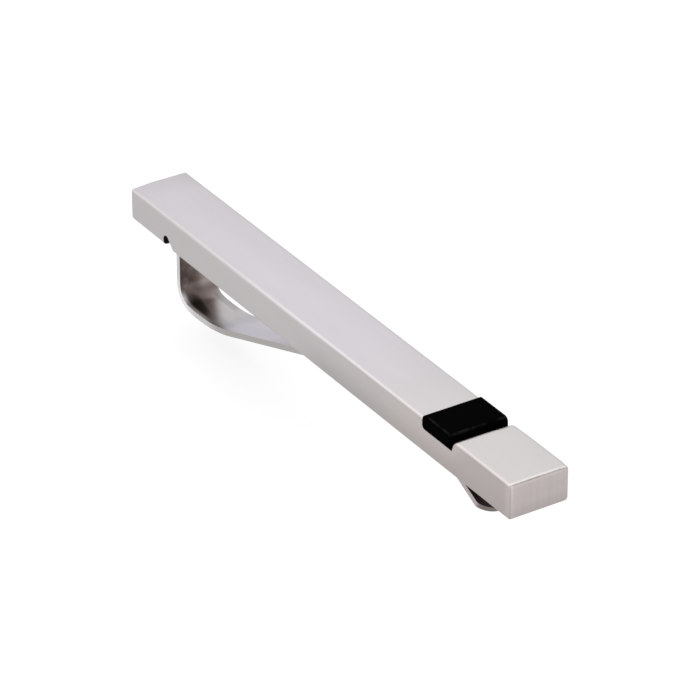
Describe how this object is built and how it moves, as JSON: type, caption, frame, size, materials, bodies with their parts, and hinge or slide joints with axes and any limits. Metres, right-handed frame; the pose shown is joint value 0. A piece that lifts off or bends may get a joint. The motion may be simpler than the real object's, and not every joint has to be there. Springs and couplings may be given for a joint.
{
  "type": "tie clip",
  "caption": "Slim satin steel tie bar with a black block let into its top near the open end, and a bent polished spring strip underneath that grips the tie.",
  "frame": {"origin": "centre of the bar's underside, the face that bears on the tie", "axes": "+X along the bar to the strip's open end, +Y across the bar, +Z out of the face that shows when the clip is worn"},
  "size_m": [0.055, 0.0052, 0.0088],
  "materials": {
    "satin_steel": "satin, lightly brushed",
    "black_stone": "smooth black onyx, polished",
    "epoxy": "black-filled adhesive",
    "spring_steel": "bright polished",
    "brazing_alloy": "silver-coloured brazing alloy, dull"
  },
  "bodies": {
    "bar_assembly": {"bar": "satin_steel", "black_inlay": "black_stone", "inlay_adhesive": "epoxy", "clip_root": "spring_steel", "clip_solder": "brazing_alloy"},
    "spring_arm": {"clip_arm": "spring_steel"}
  },
  "joints": [
    {"name": "strip_flex", "type": "hinge", "parent": "bar_assembly", "child": "spring_arm", "pos_m": [-0.01311, 0, -0.00459], "axis": [0, 1, 0], "range_deg": [0, 8], "stiffness_Nm_per_rad": 0.22}
  ]
}
